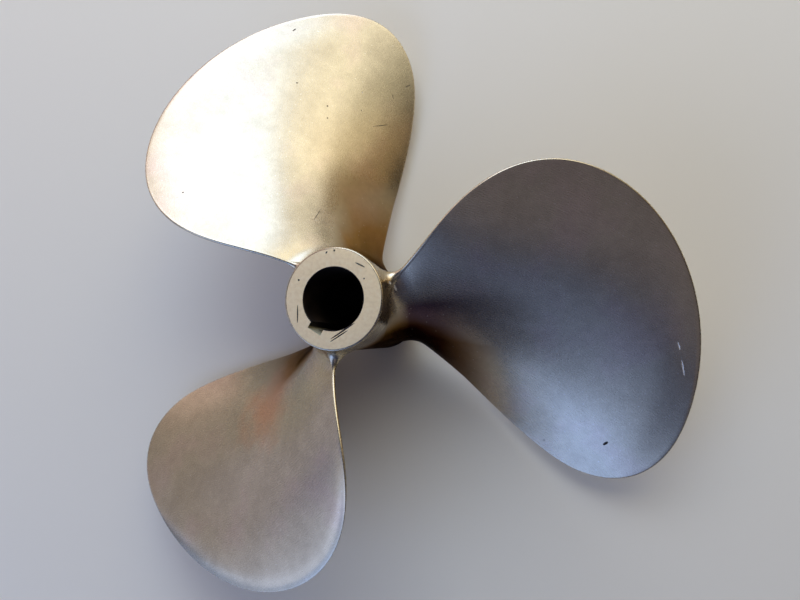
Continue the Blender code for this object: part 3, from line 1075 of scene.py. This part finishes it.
def softbox(name, azimuth, elevation, size, watts, colour):
    """A square soft light in a direction from the propeller, turned to face it."""
    a, e = math.radians(azimuth), math.radians(elevation)
    away = Vector((math.cos(e) * math.cos(a), math.cos(e) * math.sin(a), math.sin(e)))
    light = bpy.data.lights.new(name, "AREA")
    light.shape = "SQUARE"
    light.size = size
    light.energy = watts
    light.color = hex_colour(colour)[:3]
    obj = bpy.data.objects.new(name, light)
    obj.location = away * LIGHT_DISTANCE + Vector((0.0, 0.0, LIGHT_AIM_HEIGHT))
    obj.rotation_euler = away.to_track_quat("Z", "Y").to_euler()
    bpy.context.scene.collection.objects.link(obj)


def room():
    """A dim room for the metal to mirror: blue on the window's side, and darker and warm across from it.

    Where the camera sees it behind the floor it is pale.
    """
    world = bpy.data.worlds.new("room")
    world.use_nodes = True
    tree = world.node_tree
    towards = add(tree, "ShaderNodeTexCoord").outputs["Generated"]
    warm_side = add(
        tree, "ShaderNodeVectorMath", {0: towards}, {1: WARM_SIDE}, operation="DOT_PRODUCT",
    )
    warmth = add(
        tree, "ShaderNodeMapRange", {"Value": warm_side.outputs["Value"]},
        {"From Min": WALLS_TURN[0], "From Max": WALLS_TURN[1]},
    )
    walls = add(
        tree, "ShaderNodeMixRGB", {"Fac": warmth.outputs["Result"]},
        {"Color1": hex_colour("#474E70"), "Color2": hex_colour("#2A2622")},
    )
    seen = add(tree, "ShaderNodeLightPath").outputs["Is Camera Ray"]
    shade = add(
        tree, "ShaderNodeMixRGB", {"Fac": seen, "Color1": walls.outputs["Color"]},
        {"Color2": hex_colour("#D8D6D1")},
    )
    tree.links.new(shade.outputs["Color"], tree.nodes["Background"].inputs["Color"])
    bpy.context.scene.world = world


def studio():
    floor_shape = bmesh.new()
    bmesh.ops.create_circle(floor_shape, cap_ends=True, radius=FLOOR_REACH, segments=TURN_STEPS)
    floor = bpy.data.objects.new("floor", as_mesh(floor_shape, "floor"))
    floor.location = (0.0, 0.0, -FLOOR_DROP)
    bpy.context.scene.collection.objects.link(floor)
    material, tree, shader = new_material("pale_studio_floor")
    shader.inputs["Base Color"].default_value = hex_colour("#ECE0C2")
    shader.inputs["Roughness"].default_value = 0.85
    floor.data.materials.append(material)
    room()
    # The lamp side, which makes the second blade white and the hub's face beige
    softbox("key", 95.0, 32.0, 3.0, 48.4, "#F3F8FF")
    softbox("key_middle", 105.0, 30.0, 1.6, 27.3, "#98BEFF")
    softbox("warm_beside_key", 140.0, 20.0, 2.2, 11.8, "#FFE5EC")
    softbox("warm_fill", 60.0, 35.0, 1.6, 7.6, "#FEFFEF")
    softbox("low_warm_fill", 46.0, 15.0, 2.0, 5.2, "#FFD99E")
    softbox("right_wall", 24.0, 26.0, 1.4, 0.6, "#FFF6EA")
    softbox("left_wall", 180.0, 15.0, 2.0, 5.1, "#FFF8F0")
    # The window side, which lights the first blade's slate blue end and the thin edges
    softbox("window", -120.0, 30.0, 2.6, 27.3, "#99B8FF")
    softbox("window_middle", -107.0, 29.0, 1.0, 5.6, "#7FA6FF")
    softbox("window_left", -142.0, 30.0, 1.4, 6.0, "#CAD6FF")
    softbox("window_right", -75.0, 36.0, 1.0, 1.2, "#8AACFF")
    softbox("low_left", -165.0, 8.0, 1.2, 1.5, "#98ABFF")
    softbox("high_fill", -30.0, 50.0, 1.6, 1.3, "#FCF3FF")
    # Film-like view transforms would hold back the bright lamp and dull the colours
    bpy.context.scene.view_settings.view_transform = "Standard"


def photo_camera():
    data = bpy.data.cameras.new("photo_camera")
    data.lens = CAMERA_LENS
    data.sensor_fit = "HORIZONTAL"
    data.sensor_width = SENSOR_WIDTH
    data.shift_x = CAMERA_SHIFT[0]
    data.shift_y = CAMERA_SHIFT[1]
    data.clip_start = CLIP_START
    camera = bpy.data.objects.new("photo_camera", data)
    camera.location = CAMERA_PLACE
    camera.rotation_euler = [math.radians(angle) for angle in CAMERA_TURN]
    bpy.context.scene.collection.objects.link(camera)
    bpy.context.scene.camera = camera


def main():
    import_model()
    finishes = (ground_bronze, faced_bronze, bored_bronze, slotted_bronze, packed_dirt, scraped_bronze)
    propeller = cast_propeller([finish() for finish in finishes])
    lay_out(propeller)
    propeller.data.shade_smooth()
    propeller.data.set_sharp_from_angle(angle=SHARP_ANGLE)
    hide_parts("propeller")
    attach(propeller, "root")
    studio()
    photo_camera()


main()
